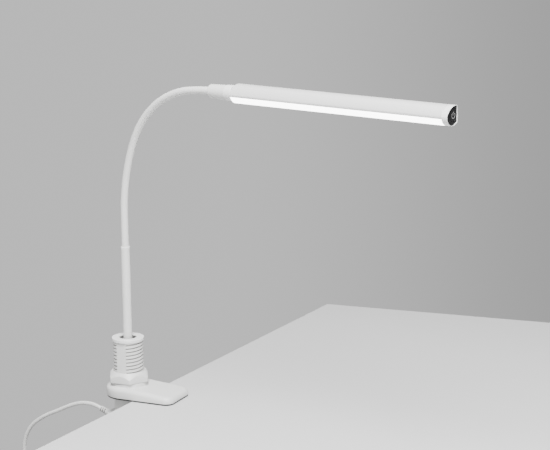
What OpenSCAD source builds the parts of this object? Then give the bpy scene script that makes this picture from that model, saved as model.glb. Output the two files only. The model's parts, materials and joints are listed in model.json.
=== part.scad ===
// Clip-on reading lamp: screw clamp, flexible neck and slim lamp head.
// Sizes are in millimetres. Z is up, X runs out over the table top and Y runs
// along the table edge. The origin is on the stem's axis, level with the table top.

/* [Clamp] */
// Thickness of the table top held between the jaws
grip_t = 20; // [12:1:30]
// Diameter of the stem over the thread crests
stem_d = 34; // [28:0.5:42]
// Depth of each flat on the stem
flat_depth = 1; // [0.5:0.1:1.4]
// Height of the stem above the table top
stem_h = 63.3; // [56:0.1:90]
// Spacing of the thread ridges
ridge_gap = 4; // [3:0.5:5]
// Depth of the thread
thread_depth = 1.3; // [0.8:0.1:1.6]
// Distance from the stem's axis to the tip of the jaws
jaw_reach = 65; // [54:1:85]
// Width of the jaws
jaw_w = 50.8; // [48:0.2:62]
// Height of the upper jaw beside the stem
jaw_h = 13.6; // [12:0.1:18]
// Height of the upper jaw near its tip
jaw_tip_h = 9; // [7:0.1:11]
// Radius of the corners at the jaw tips
jaw_corner = 9.5; // [5:0.5:14]
// Depth of the lower jaw casing
base_h = 14; // [13:0.5:20]
// Thickness of the rubber pads
pad_t = 1.5; // [1:0.1:2.5]
// Width of the nut across its flats beyond the stem's diameter
nut_extra = 8; // [8:0.5:16]
// Height of the clamp nut
nut_h = 12; // [9:0.5:16]

/* [Stem Cap] */
// Diameter of the cap on the stem
cap_d = 36; // [35:0.5:44]
// Height of the cap above the stem
cap_h = 3.7; // [3:0.1:6]
// Diameter of the opening around the neck
cap_hole_d = 19.4; // [15:0.2:22]

/* [Neck] */
// Turn of the neck's plane about the vertical, from over the table
neck_yaw = -15; // [-60:1:60]
// Outer diameter of the rigid sleeve
sleeve_d = 10; // [9.5:0.1:12]
// Height of the sleeve's top above the table top
sleeve_top = 170.5; // [140:0.5:210]
// Diameter of the flexible neck
neck_d = 8.2; // [7:0.1:8.6]
// Straight length of flexible neck above the sleeve
neck_straight = 36; // [30:1:50]
// Radius of the first curve
curve1_r = 210; // [170:5:260]
// Angle of the first curve
curve1_a = 23.5; // [20:0.5:28]
// Radius of the second curve
curve2_r = 104; // [90:1:130]
// Angle of the second curve
curve2_a = 59.5; // [50:0.5:60]
// Radius of the last curve, which ends level
curve3_r = 262; // [230:2:300]

/* [Head] */
// Length of the lamp head, from the swivel to its end face
head_len = 268.5; // [220:0.5:330]
// Radius of the head's lower front
head_r = 9.5; // [9:0.1:11]
// Thickness of the head casing
shell_t = 1.8; // [1.4:0.1:2.2]
// Length of the tapered collar
collar_len = 25.5; // [20:0.5:32]
// Diameter of the collar where the neck enters
collar_d1 = 14.3; // [13:0.1:16]
// Diameter of the collar at the swivel
collar_d2 = 16; // [15:0.1:18]
// Diameter of the swivel ring
ring_d = 16.8; // [16:0.1:19]
// Length of the swivel ring
ring_len = 9.5; // [8:0.5:12]
// Length of the light end cap
end_len = 6.5; // [6:0.5:9]
// Travel of the power button
button_travel = 0.8; // [0.4:0.1:1]

/* [Cord] */
// Diameter of the cord
cord_d = 4.5; // [4:0.1:5]
// Upward tilt of the cord where it leaves the base
gland_tilt = 20; // [10:1:25]

/* [Fits] */
// Running clearance on the radius of turning parts
running = 0.06; // [0.03:0.01:0.09]
// Loose clearance on the radius of sliding parts
loose = 0.4; // [0.3:0.05:0.6]
// Clearance around parts that are fixed in place
seat = 0.03; // [0.02:0.01:0.05]

/* [Hidden] */
$fn = 48;
eps = 0.01;

stem_r = stem_d / 2;
bore_r = stem_r - 3.5;
flat_y = stem_r - flat_depth;
jaw_r = jaw_w / 2;
low_top = -grip_t - pad_t;
low_bot = low_top - base_h;
washer_t = 1.2;
boss_h = jaw_h + 3.2;
nut_z = boss_h + 0.2;
nut_af = stem_d + nut_extra;
nut_rim = max(nut_af / 2 - 2.1, stem_r + 1.5);
washer_r = nut_af / 2 - 0.8;
boss_r = nut_af / 2 + 0.6;
cover_t = 2;
cover_r = bore_r + 6.5;
screw_y = bore_r + 3.2;

gland_x = -jaw_r;
gland_z = low_top - 4.8;
relief_len = 13.6;

bush_z = stem_h - 22;
bush_t = 8;
lock_t = 6;
sleeve_z = bush_z - lock_t - 2;
sleeve_r = sleeve_d / 2;
neck_r = neck_d / 2;
link_z = sleeve_top - 12;
ring_h = 2.5;

ball_r = neck_r - 0.5;
cup_gap = 0.05;
link_gap = 1.6;

// Ends and centres of the curves in the neck's own plane, as [outward, up]
p1 = [0, sleeve_top + neck_straight];
c1 = p1 + [curve1_r, 0];
a12 = curve1_a;
p2 = c1 + curve1_r * [-cos(a12), sin(a12)];
c2 = p2 + curve2_r * [cos(a12), -sin(a12)];
a23 = curve1_a + curve2_a;
turn2 = curve2_a / 3;
p3 = c2 + curve2_r * [-cos(a23), sin(a23)];
c3 = p3 + curve3_r * [cos(a23), -sin(a23)];
p4 = c3 + [0, curve3_r];

head_z = p4[1];
neck_end = p4[0] + 8;
collar_x = p4[0] - 3.5;
ring_x = collar_x + collar_len;
head_x = ring_x + ring_len + 0.5;
head_end = head_x + head_len;
cap_x = head_end - end_len;
pin_r = 3.5;
plate_x = head_x + 0.4;
plate_t = 4;
clip_x = plate_x + plate_t + 0.1;
lens_from = 197;
lens_to = 259;
lens_x = head_x + 1.2;
board_x = head_x + 12;
board_len = head_len - 58;
chip_n = 30;
spigot_len = 9;
bezel_t = 2.4;
rim_t = 0.7;
bezel_x = head_end - 0.9 - bezel_t;
button_r = head_r - 3.9;
button_y = 1.6;
foot_x = bezel_x - 2.2;
switch_top = foot_x - button_travel - 0.1;
switch_x = switch_top - 2.6;

// Path of the cord from the base to the coil, as [outward, up]
coil_c = [-150, -150];
coil_r = 25;
coil_t = 7;
lead_pts = [[-41.5, -20], [-49, -18], [-60, -18], [-71, -20.5], [-84, -26], [-95, -31.5],
    [-106, -36.5], [-119, -44], [-131, -54], [-139, -67], [-142.5, -82], [-140.5, -97],
    [-135, -111], [-128.5, -124], [-123.5, -137], [-121, -150]];
tail_at = [-129, 9.2];
tail_z = -172;
tail_tilt = 9.2;
tail_len = 32;
plug_len = 26;

function gland(u) = [gland_x - u * cos(gland_tilt), gland_z + u * sin(gland_tilt)];
function curve_at(q, k) = 0.5 * (2 * q[1] + (q[2] - q[0]) * k
    + (2 * q[0] - 5 * q[1] + 4 * q[2] - q[3]) * k * k
    + (3 * q[1] - q[0] - 3 * q[2] + q[3]) * k * k * k);
lead_ctrl = concat([gland(-18), gland(-12), gland(0), gland(relief_len - 1)], lead_pts,
    [[-121, -163]]);
lead_path = [for (i = [1 : len(lead_ctrl) - 3]) for (k = [0, 0.5])
    curve_at([for (j = [-1 : 2]) lead_ctrl[i + j]], k)];

// A point on a curve of the neck at a lean from upright, as [outward, up]
function on_curve(c, r, lean) = c + r * [-cos(lean), sin(lean)];

module in_neck_plane() {
    rotate([0, 0, neck_yaw])
        children();
}

module at_head() {
    rotate([0, 0, neck_yaw])
        translate([0, 0, head_z])
            children();
}

// Extrudes a section drawn as [sideways, up] along the head from x0 to x1
module along(x0, x1) {
    translate([x0, 0, 0])
        rotate([90, 0, 90])
            linear_extrude(x1 - x0)
                children();
}

module rod(x0, x1, r0, r1) {
    translate([x0, 0, 0])
        rotate([0, 90, 0])
            cylinder(h = x1 - x0, r1 = r0, r2 = r1);
}

module on_gland(u) {
    translate([gland_x - u * cos(gland_tilt), 0, gland_z + u * sin(gland_tilt)])
        rotate([0, gland_tilt - 90, 0])
            children();
}

// ---- Clamp ----

module jaw_plan(inset) {
    w = jaw_r - inset;
    reach = jaw_reach - inset;
    c = jaw_corner - inset;
    circle(r = w, $fn = 96);
    translate([0, -w])
        square([reach - c, 2 * w]);
    translate([0, c - w])
        square([reach, 2 * (w - c)]);
    for (y = [c - w, w - c])
        translate([reach - c, y])
            circle(r = c);
}

module stem_profile() {
    count = floor((stem_h - 2) / ridge_gap);
    groove = ridge_gap * 0.24;
    root = ridge_gap * 0.1;
    low = stem_h - 1 - count * ridge_gap;
    grooves = [for (i = [0 : count - 1]) for (q = [[0, -groove], [thread_depth, -root],
        [thread_depth, root], [0, groove]]) [stem_r - q[0], low + (i + 0.5) * ridge_gap + q[1]]];
    polygon(concat([[0, low_top - eps], [stem_r, low_top - eps]], grooves,
        [[stem_r, stem_h], [0, stem_h]]));
}

module clamp_frame() {
    color([0.86, 0.86, 0.85])
        difference() {
            union() {
                intersection() {
                    rotate_extrude($fn = 96)
                        stem_profile();
                    translate([-stem_r - 1, -flat_y, low_top - 1])
                        cube([2 * stem_r + 2, 2 * flat_y, stem_h - low_top + 2]);
                }
                intersection() {
                    translate([0, 0, low_bot])
                        linear_extrude(base_h)
                            jaw_plan(0);
                    rotate([90, 0, 0])
                        linear_extrude(jaw_w + 2, center = true)
                            polygon([[-jaw_r - 1, low_top], [jaw_reach + 1, low_top],
                                [jaw_reach + 1, low_top - 5.5], [jaw_reach - 1, low_top - 8],
                                [jaw_reach - 6, low_top - 9.6], [30, low_bot], [-jaw_r + 2, low_bot],
                                [-jaw_r - 1, low_bot + 3]]);
                }
                on_gland(-6)
                    cylinder(h = 7.8, r = 4.6);
            }
            translate([0, 0, low_bot + cover_t])
                cylinder(h = stem_h - low_bot, r = bore_r, $fn = 96);
            translate([0, 0, low_bot - 1])
                cylinder(h = cover_t + 1, r = cover_r + seat);
            for (y = [-screw_y, screw_y])
                translate([0, y, low_bot])
                    cylinder(h = 9, r = 1.3);
            on_gland(-14)
                cylinder(h = 17, r = 3 + seat);
            for (y = [2, 3.6 - jaw_r])
                translate([stem_r + 6, y, low_top - 5.5])
                    cube([jaw_reach - stem_r - 18, jaw_r - 5.6, 5.6]);
        }
}

module stem_cap() {
    color([0.9, 0.9, 0.89])
        translate([0, 0, stem_h])
            rotate_extrude($fn = 96)
                difference() {
                    union() {
                        translate([cap_hole_d / 2, 0])
                            square([cap_d / 2 - cap_hole_d / 2 - 0.8, cap_h]);
                        translate([cap_hole_d / 2 + 1, 0.6])
                            square([cap_d / 2 - cap_hole_d / 2 - 1, cap_h - 1.4]);
                        translate([cap_d / 2 - 0.8, cap_h - 0.8])
                            circle(r = 0.8, $fn = 24);
                        translate([bore_r - 2.2, -5])
                            square([2.2 - seat, 5.5]);
                    }
                    translate([cap_hole_d / 2 - 0.1, cap_h - 0.5])
                        square([0.5, 1]);
                }
}

module upper_jaw() {
    color([0.88, 0.88, 0.87])
        difference() {
            union() {
                intersection() {
                    translate([0, 0, pad_t])
                        linear_extrude(jaw_h)
                            jaw_plan(0);
                    rotate([90, 0, 0])
                        linear_extrude(jaw_w + 2, center = true)
                            polygon([[-jaw_r - 1, pad_t], [jaw_reach + 1, pad_t],
                                [jaw_reach + 1, pad_t + 1.9], [jaw_reach - 0.6, pad_t + 3.2],
                                [jaw_reach - 2.2, pad_t + 4.9], [jaw_reach - 5, jaw_tip_h - 1.2],
                                [jaw_reach - 12, jaw_tip_h], [jaw_reach * 0.55, jaw_h - 2.4],
                                [jaw_reach * 0.31, jaw_h - 0.8], [6, jaw_h], [-jaw_r + 4, jaw_h],
                                [-jaw_r + 1.3, jaw_h - 1.3], [-jaw_r - 1, jaw_h - 6]]);
                    rotate([90, 0, 90])
                        linear_extrude(2 * jaw_reach + 60, center = true)
                            union() {
                                translate([-jaw_r, 0])
                                    square([jaw_w, jaw_h - 8]);
                                translate([8 - jaw_r, 0])
                                    square([jaw_w - 16, jaw_h]);
                                for (y = [8 - jaw_r, jaw_r - 8])
                                    translate([y, jaw_h - 8])
                                        circle(r = 8);
                            }
                }
                translate([0, 0, jaw_h - 3])
                    cylinder(h = boss_h - jaw_h + 3, r = boss_r, $fn = 96);
            }
            intersection() {
                translate([0, 0, -1])
                    cylinder(h = boss_h + 3, r = stem_r + loose, $fn = 96);
                translate([-stem_r - 2, -flat_y - loose, -1])
                    cube([2 * stem_r + 4, 2 * (flat_y + loose), boss_h + 3]);
            }
            translate([0, 0, nut_z - washer_t])
                cylinder(h = washer_t + 1, r = washer_r + seat, $fn = 96);
            for (y = [1.2, 3 - jaw_r])
                translate([stem_r + 5, y, pad_t - 1])
                    cube([jaw_reach - stem_r - 14, jaw_r - 4.2, jaw_tip_h - pad_t - 1.8]);
        }
}

module upper_pad() {
    color([0.1, 0.1, 0.1])
        difference() {
            linear_extrude(pad_t)
                jaw_plan(0.6);
            translate([0, 0, -1])
                cylinder(h = pad_t + 2, r = stem_r + 0.6, $fn = 96);
        }
}

module thrust_washer() {
    color([0.75, 0.76, 0.78])
        translate([0, 0, nut_z - washer_t])
            difference() {
                cylinder(h = washer_t, r = washer_r, $fn = 96);
                translate([0, 0, -1])
                    cylinder(h = washer_t + 2, r = stem_r + loose, $fn = 96);
            }
}

module clamp_nut() {
    color([0.87, 0.87, 0.86])
        translate([0, 0, nut_z])
            difference() {
                intersection() {
                    cylinder(h = nut_h, r = nut_af / sqrt(3), $fn = 6);
                    cylinder(h = nut_h, r1 = nut_rim + nut_h / tan(54), r2 = nut_rim,
                        $fn = 96);
                }
                translate([0, 0, -1])
                    cylinder(h = nut_h + 2, r = stem_r + running, $fn = 96);
                translate([0, 0, nut_h - 0.8])
                    cylinder(h = 1, r1 = stem_r + running, r2 = stem_r + 1.1, $fn = 96);
            }
}

module lower_pad() {
    color([0.1, 0.1, 0.1])
        translate([0, 0, low_top])
            difference() {
                linear_extrude(pad_t)
                    jaw_plan(0.6);
                translate([-jaw_r - 1, -jaw_r - 1, -1])
                    cube([jaw_r + stem_r + 2, jaw_w + 2, pad_t + 2]);
            }
}

module base_cover() {
    color([0.82, 0.82, 0.81])
        translate([0, 0, low_bot])
            difference() {
                cylinder(h = cover_t, r = cover_r, $fn = 96);
                for (y = [-screw_y, screw_y])
                    translate([0, y, 0]) {
                        translate([0, 0, -1])
                            cylinder(h = cover_t + 2, r = 1.4);
                        translate([0, 0, -1])
                            cylinder(h = 2, r = 2.5);
                    }
            }
}

module base_screw(y) {
    color([0.6, 0.6, 0.62])
        translate([0, y, low_bot])
            difference() {
                union() {
                    cylinder(h = 1, r = 2.3);
                    cylinder(h = 8.5, r = 1.25);
                }
                for (a = [0, 90])
                    rotate([0, 0, a])
                        translate([-1.5, -0.3, -1])
                            cube([3, 0.6, 1.5]);
            }
}

module base_screw_1() {
    base_screw(-screw_y);
}

module base_screw_2() {
    base_screw(screw_y);
}

// ---- Cord ----

module strain_relief() {
    color([0.84, 0.84, 0.83])
        difference() {
            union() {
                on_gland(-7)
                    cylinder(h = 9.5, r = 3);
                on_gland(1.8)
                    cylinder(h = 1.4, r = 4.2);
                on_gland(2.4)
                    cylinder(h = relief_len - 2.4, r1 = 3.85, r2 = 3.1);
            }
            on_gland(-8)
                cylinder(h = relief_len + 9, r = cord_d / 2);
            for (k = [0 : 2])
                for (s = [-1, 1])
                    on_gland(6 + 2.6 * k)
                        translate([-0.8, s * 3.6 - 1.2, 0])
                            cube([1.6, 2.4, 1.2]);
        }
}

// A round cable through points of the upright plane over the table edge
module cable(pts, r, sides) {
    n = len(pts);
    ring = [for (i = [0 : n - 1])
        let (t = pts[min(i + 1, n - 1)] - pts[max(i - 1, 0)], u = t / norm(t))
            for (k = [0 : sides - 1])
                let (a = 360 * k / sides)
                    [pts[i][0] - r * cos(a) * u[1], r * sin(a), pts[i][1] + r * cos(a) * u[0]]];
    caps = [[for (k = [0 : sides - 1]) k],
        [for (k = [0 : sides - 1]) n * sides - 1 - k]];
    walls = [for (i = [0 : n - 2]) for (k = [0 : sides - 1])
        let (m = (k + 1) % sides)
            [i * sides + m, i * sides + k, (i + 1) * sides + k, (i + 1) * sides + m]];
    polyhedron(points = ring, faces = concat(caps, walls));
}

module cord_lead() {
    color([0.85, 0.85, 0.84])
        cable(lead_path, cord_d / 2, 12);
}

module cord_coil() {
    color([0.85, 0.85, 0.84])
        translate([coil_c[0], 0, coil_c[1]])
            rotate([90, 0, 0])
                rotate_extrude($fn = 64)
                    translate([coil_r, 0])
                        circle(r = coil_t, $fn = 24);
}

module cord_tie() {
    color([0.15, 0.15, 0.15])
        translate([coil_c[0], 0, coil_c[1] + coil_r])
            rotate([0, 90, 0])
                difference() {
                    cylinder(h = 5, r = coil_t + 1.4, center = true);
                    cylinder(h = 6, r = coil_t + 0.25, center = true);
                }
}

module at_plug() {
    translate([tail_at[0], tail_at[1], tail_z])
        children();
}

module cord_tail() {
    color([0.85, 0.85, 0.84])
        at_plug()
            difference() {
                rotate([tail_tilt, 0, 0])
                    translate([0, 0, -1])
                        cylinder(h = tail_len + 1, r = cord_d / 2, $fn = 24);
                translate([-5, -5, -5])
                    cube([10, 10, 5]);
            }
}

module usb_plug() {
    color([0.85, 0.85, 0.84])
        at_plug()
            difference() {
                union() {
                    translate([0, 0, -10])
                        cylinder(h = 10, r1 = 4.2, r2 = 3);
                    translate([-7.8, -4, -10 - plug_len])
                        cube([15.6, 8, plug_len]);
                }
                translate([-6 - seat, -2.25 - seat, -11 - plug_len])
                    cube([12 + 2 * seat, 4.5 + 2 * seat, 9]);
            }
}

module usb_shell() {
    color([0.75, 0.76, 0.78])
        at_plug()
            translate([0, 0, -10 - plug_len])
                difference() {
                    translate([-6, -2.25, -12])
                        cube([12, 4.5, 20]);
                    translate([-5.7, -0.1, -13])
                        cube([11.4, 2.05, 13]);
                }
}

module stem_wire() {
    low = gland(-13)[1];
    color([0.2, 0.2, 0.2])
        translate([0, 0, low])
            union() {
                cylinder(h = link_z - low, r = 1.5, $fn = 24);
                sphere(r = 1.7, $fn = 24);
                rod(gland(-13)[0] + 1, 0, 1.5, 1.5);
            }
}

// ---- Neck ----

module neck_bush() {
    color([0.3, 0.3, 0.3])
        translate([0, 0, bush_z])
            difference() {
                cylinder(h = bush_t, r = bore_r - seat, $fn = 96);
                translate([0, 0, -1])
                    cylinder(h = bush_t + 2, r = sleeve_r + seat);
            }
}

module neck_lock_nut() {
    color([0.75, 0.76, 0.78])
        translate([0, 0, bush_z - lock_t])
            difference() {
                cylinder(h = lock_t, r = sleeve_r + 4.2, $fn = 6);
                translate([0, 0, -1])
                    cylinder(h = lock_t + 2, r = sleeve_r + seat);
            }
}

module neck_sleeve() {
    color([0.85, 0.85, 0.84])
        translate([0, 0, sleeve_z])
            difference() {
                cylinder(h = sleeve_top - ring_h - sleeve_z, r = sleeve_r);
                translate([0, 0, -1])
                    cylinder(h = sleeve_top, r = neck_r + seat);
            }
}

module sleeve_ring() {
    color([0.92, 0.92, 0.91])
        translate([0, 0, sleeve_top - ring_h])
            difference() {
                cylinder(h = ring_h, r = sleeve_r + 0.1);
                translate([0, 0, -1])
                    cylinder(h = ring_h + 2, r = neck_r + seat);
            }
}

// A bar that follows one curve of the neck, stopping short of the joints at its ends
module curve_bar(c, r, from, to, gap0, gap1) {
    start = from + gap0 / r * 180 / PI;
    stop = to - gap1 / r * 180 / PI;
    translate([c[0], 0, c[1]])
        rotate([90, 0, 0])
            rotate([0, 0, 180 - stop])
                rotate_extrude(angle = stop - start, $fn = 96)
                    translate([r, 0])
                        circle(r = neck_r);
}

module neck_ball(p, r) {
    translate([p[0], 0, p[1]])
        sphere(r = r);
}

// One link on a curve, with the cup of the joint below it and the ball of the joint above it
module neck_link(c, r, from, to) {
    color([0.84, 0.84, 0.83])
        in_neck_plane()
            difference() {
                union() {
                    curve_bar(c, r, from, to, link_gap, link_gap);
                    neck_ball(on_curve(c, r, to), ball_r);
                }
                neck_ball(on_curve(c, r, from), ball_r + cup_gap);
            }
}

module neck_link_1() {
    color([0.84, 0.84, 0.83])
        in_neck_plane()
            union() {
                translate([0, 0, link_z])
                    cylinder(h = p1[1] - link_gap - link_z, r = neck_r);
                neck_ball(p1, ball_r);
            }
}

module neck_link_2() {
    neck_link(c1, curve1_r, 0, curve1_a / 2);
}

module neck_link_3() {
    neck_link(c1, curve1_r, curve1_a / 2, a12);
}

module neck_link_4() {
    neck_link(c2, curve2_r, a12, a12 + turn2);
}

module neck_link_5() {
    neck_link(c2, curve2_r, a12 + turn2, a12 + 2 * turn2);
}

module neck_link_6() {
    neck_link(c2, curve2_r, a12 + 2 * turn2, a23);
}

module neck_link_7() {
    color([0.84, 0.84, 0.83])
        in_neck_plane()
            difference() {
                union() {
                    curve_bar(c3, curve3_r, a23, 90, link_gap, 0);
                    translate([0, 0, head_z])
                        rod(p4[0], neck_end, neck_r, neck_r);
                }
                neck_ball(p3, ball_r + cup_gap);
            }
}

// ---- Swivel ----

module head_collar() {
    color([0.86, 0.86, 0.85])
        at_head()
            difference() {
                rod(collar_x, ring_x, collar_d1 / 2, collar_d2 / 2);
                rod(collar_x - 1, neck_end, neck_r + 0.35, neck_r + 0.35);
                rod(neck_end - eps, ring_x + 1, pin_r + seat, pin_r + seat);
            }
}

module swivel_ring() {
    color([0.9, 0.9, 0.89])
        at_head()
            difference() {
                union() {
                    rod(ring_x, ring_x + 0.7, ring_d / 2 - 0.7, ring_d / 2);
                    rod(ring_x + 0.7, ring_x + ring_len - 0.7, ring_d / 2, ring_d / 2);
                    rod(ring_x + ring_len - 0.7, ring_x + ring_len, ring_d / 2, ring_d / 2 - 0.7);
                }
                rod(ring_x - 1, ring_x + ring_len + 1, pin_r + seat, pin_r + seat);
            }
}

module swivel_pin() {
    color([0.75, 0.76, 0.78])
        at_head()
            difference() {
                rod(neck_end + 1, clip_x + 2.4, pin_r, pin_r);
                rod(neck_end, clip_x + 3, 2, 2);
                difference() {
                    rod(clip_x, clip_x + 1.2, pin_r + 1, pin_r + 1);
                    rod(clip_x - 1, clip_x + 2, pin_r - 0.6, pin_r - 0.6);
                }
            }
}

module pin_clip() {
    color([0.6, 0.6, 0.62])
        at_head()
            difference() {
                rod(clip_x + 0.1, clip_x + 1.1, pin_r + 2, pin_r + 2);
                rod(clip_x - 1, clip_x + 2, pin_r - 0.58, pin_r - 0.58);
                translate([clip_x - 1, -1.8, -8])
                    cube([3, 3.6, 8]);
            }
}

// ---- Head ----

// Section of the head as [sideways, up], drawn smaller by an inset
module head_section(inset) {
    r = head_r - inset;
    w = head_r - 0.8 - inset;
    intersection() {
        translate([4.9, -5.6])
            circle(r = 15.3 + head_r - 9.5 - inset, $fn = 96);
        union() {
            translate([0, -0.3])
                circle(r = r, $fn = 96);
            polygon([[0, -0.3 - r], [3, 0.1 - r], [w - 0.4, 2.5 - r], [w, -1], [w - 0.8, 20],
                [0, 20]]);
        }
    }
}

// Sector of a ring about the centre of the head's lower front
module lens_sector(r0, r1, from, to) {
    translate([0, -0.3])
        intersection() {
            difference() {
                circle(r = r1, $fn = 96);
                circle(r = r0, $fn = 96);
            }
            polygon([[0, 0], 20 * [cos(from), sin(from)],
                24 * [cos((from + to) / 2), sin((from + to) / 2)], 20 * [cos(to), sin(to)]]);
        }
}

module end_plate() {
    color([0.82, 0.82, 0.81])
        at_head()
            difference() {
                along(plate_x, plate_x + plate_t)
                    head_section(shell_t + 1);
                rod(plate_x - 1, plate_x + plate_t + 1, pin_r + running, pin_r + running);
                for (v = [-1, 1])
                    translate([plate_x + plate_t / 2, 5.6, v * 3.2])
                        rotate([-90, 0, 0])
                            cylinder(h = 10, r = 0.8);
            }
}

module plate_screw(v) {
    color([0.6, 0.6, 0.62])
        at_head()
            translate([plate_x + plate_t / 2, 0, v * 3.2])
                rotate([-90, 0, 0]) {
                    translate([0, 0, 5.8])
                        cylinder(h = head_r - 7.2, r = 0.75);
                    translate([0, 0, head_r - 1.5])
                        cylinder(h = 0.6, r = 1.3);
                }
}

module plate_screw_1() {
    plate_screw(-1);
}

module plate_screw_2() {
    plate_screw(1);
}

module head_shell() {
    color([0.87, 0.87, 0.86])
        at_head()
            difference() {
                along(head_x, cap_x)
                    head_section(0);
                along(head_x - 1, cap_x + 1)
                    head_section(shell_t);
                along(lens_x, cap_x + 1)
                    lens_sector(head_r - shell_t - 0.3, head_r + 1, lens_from, lens_to);
                for (v = [-1, 1])
                    translate([plate_x + plate_t / 2, 5, v * 3.2])
                        rotate([-90, 0, 0]) {
                            cylinder(h = 10, r = 0.8);
                            translate([0, 0, head_r - 6.5])
                                cylinder(h = 6, r = 1.4);
                        }
            }
}

module diffuser() {
    lip = head_r - shell_t - 0.05;
    color([0.97, 0.97, 0.95])
        at_head()
            union() {
                along(lens_x + seat, cap_x)
                    lens_sector(lip - 0.3, head_r, lens_from + 0.3, lens_to - 0.3);
                along(lens_x + 6, cap_x - spigot_len - 1)
                    lens_sector(lip - 0.9, lip, lens_from - 6, lens_to + 4);
            }
}

module led_board() {
    color([0.92, 0.93, 0.92])
        at_head()
            rotate([-42, 0, 0])
                translate([board_x, -4, -2.6])
                    cube([board_len, 8, 1]);
}

module led_chips() {
    pitch = (board_len - 8) / chip_n;
    color([0.95, 0.9, 0.6])
        at_head()
            rotate([-42, 0, 0])
                union() {
                    translate([board_x + 2, -0.6, -2.7])
                        cube([board_len - 4, 1.2, 0.1]);
                    for (i = [0 : chip_n - 1])
                        translate([board_x + 4 + (i + 0.5) * pitch - 1.75, -1.4, -3.4])
                            cube([3.5, 2.8, 0.8]);
                }
}

module driver_board() {
    color([0.1, 0.4, 0.2])
        at_head()
            translate([cap_x - spigot_len - 27, -3, 0.6])
                cube([24, 9, 1]);
}

module driver_parts() {
    color([0.2, 0.2, 0.2])
        at_head()
            translate([cap_x - spigot_len - 27, -3, 1.6])
                union() {
                    translate([1, 0.6, 0])
                        cube([22, 7.6, 0.3]);
                    translate([3, 2, 0])
                        cube([5, 5, 1.6]);
                    translate([11, 2, 0])
                        cube([4, 4.5, 2.2]);
                    translate([18.5, 4.4, 0])
                        cylinder(h = 3.6, r = 2);
                }
}

module end_cap() {
    color([0.93, 0.93, 0.92])
        at_head()
            difference() {
                union() {
                    along(cap_x, head_end)
                        head_section(0);
                    along(cap_x - spigot_len, cap_x + 0.5)
                        head_section(shell_t + 1.2);
                }
                along(bezel_x, head_end + 1)
                    head_section(rim_t);
                along(cap_x - spigot_len - 1, bezel_x + 0.5)
                    head_section(shell_t + 2.4);
                along(cap_x + 0.9, bezel_x + 0.5)
                    head_section(2.2);
            }
}

// Outline of the push button, round with one flat side
module button_outline(gap) {
    translate([button_y, 0])
        intersection() {
            circle(r = button_r + gap);
            translate([-20, -button_r - 1])
                square([20 + button_r * 0.72 + gap, 2 * button_r + 2]);
        }
}

module button_bezel() {
    color([0.28, 0.28, 0.29])
        at_head()
            difference() {
                along(bezel_x, bezel_x + bezel_t)
                    head_section(rim_t + seat);
                along(bezel_x - 1, bezel_x + bezel_t + 1)
                    button_outline(0.25);
            }
}

module power_button() {
    color([0.24, 0.24, 0.25])
        at_head()
            union() {
                along(bezel_x - 1, bezel_x + bezel_t + 0.1)
                    button_outline(0);
                along(bezel_x - 1.2, bezel_x - 0.2)
                    button_outline(0.5);
                translate([0, button_y, 0])
                    rod(foot_x, bezel_x - 1, 1.6, 1.6);
            }
}

module switch_board() {
    color([0.1, 0.4, 0.2])
        at_head()
            along(switch_x - 1, switch_x)
                head_section(shell_t + 2.5);
}

module tact_switch() {
    color([0.15, 0.15, 0.15])
        at_head()
            union() {
                translate([switch_x, button_y - 2.25, -2.25])
                    cube([2, 4.5, 4.5]);
                translate([0, button_y, 0])
                    rod(switch_x + 1.5, switch_top, 1.1, 1.1);
            }
}

clamp_frame();
stem_cap();
upper_jaw();
upper_pad();
thrust_washer();
clamp_nut();
lower_pad();
base_cover();
base_screw_1();
base_screw_2();
strain_relief();
cord_lead();
cord_coil();
cord_tie();
cord_tail();
usb_plug();
usb_shell();
stem_wire();
neck_bush();
neck_lock_nut();
neck_sleeve();
sleeve_ring();
neck_link_1();
neck_link_2();
neck_link_3();
neck_link_4();
neck_link_5();
neck_link_6();
neck_link_7();
head_collar();
swivel_ring();
swivel_pin();
pin_clip();
end_plate();
plate_screw_1();
plate_screw_2();
head_shell();
diffuser();
led_board();
led_chips();
driver_board();
driver_parts();
end_cap();
button_bezel();
power_button();
switch_board();
tact_switch();
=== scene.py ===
"""Clip-on reading lamp: the visual model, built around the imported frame.

Lengths inside the classes are in millimetres and become metres when a mesh is made.
World axes: the origin is on the clamp stem's axis, level with the table top; X runs out
over the table, Y along its edge and Z up. The neck and the head lie in one upright plane,
where a place is given by its reach outward, its side step and its height.
"""

import json
import logging
import math
from dataclasses import dataclass, field
from enum import Enum
from typing import Any, Sequence

import bpy
import numpy as np
from mathutils import Matrix

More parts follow.
